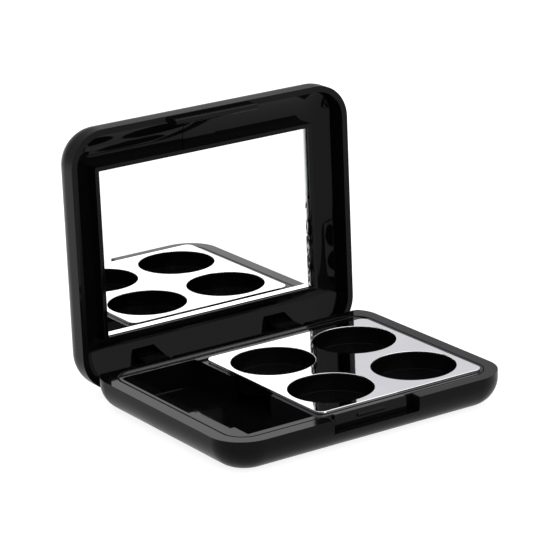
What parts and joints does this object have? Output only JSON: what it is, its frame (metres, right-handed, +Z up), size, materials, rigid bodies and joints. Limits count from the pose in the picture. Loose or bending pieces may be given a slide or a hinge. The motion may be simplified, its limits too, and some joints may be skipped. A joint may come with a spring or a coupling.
{
  "type": "wet palette",
  "caption": "Pocket palette compact: hinged rounded case with a framed mirror in the lid, a lift-out plate of round paint wells and an empty side compartment.",
  "frame": {"origin": "centre of the closed case's outline, on its flat underside", "axes": "+X along the hinge, +Y from the thumb side to the hinge side, +Z up"},
  "size_m": [0.104, 0.1004, 0.088],
  "materials": {
    "case_black": "satin outside, polished rim and inside",
    "tray_black": "polished",
    "insert_black": "satin",
    "mirror_plate": "bright metallised",
    "frame_black": "polished",
    "mirror_glass": "silvered glass",
    "tape": "foam adhesive pad",
    "pin_steel": "drawn wire"
  },
  "bodies": {
    "base": {"base_shell": "case_black", "inner_tray": "tray_black", "hinge_pin_left": "pin_steel", "hinge_pin_right": "pin_steel"},
    "lid": {"lid_shell": "case_black", "mirror_frame": "frame_black", "mirror_glass": "mirror_glass", "mirror_tape": "tape"},
    "insert": {"well_insert": "insert_black", "insert_plate": "mirror_plate"}
  },
  "joints": [
    {"name": "lid_hinge", "type": "hinge", "parent": "base", "child": "lid", "pos_m": [0, 0.03895, 0.0063], "axis": [1, 0, 0], "range_deg": [-10, 90]},
    {"name": "insert_lift", "type": "slide", "parent": "base", "child": "insert", "axis": [0, 0, 1], "range_m": [0, 0.02]}
  ]
}
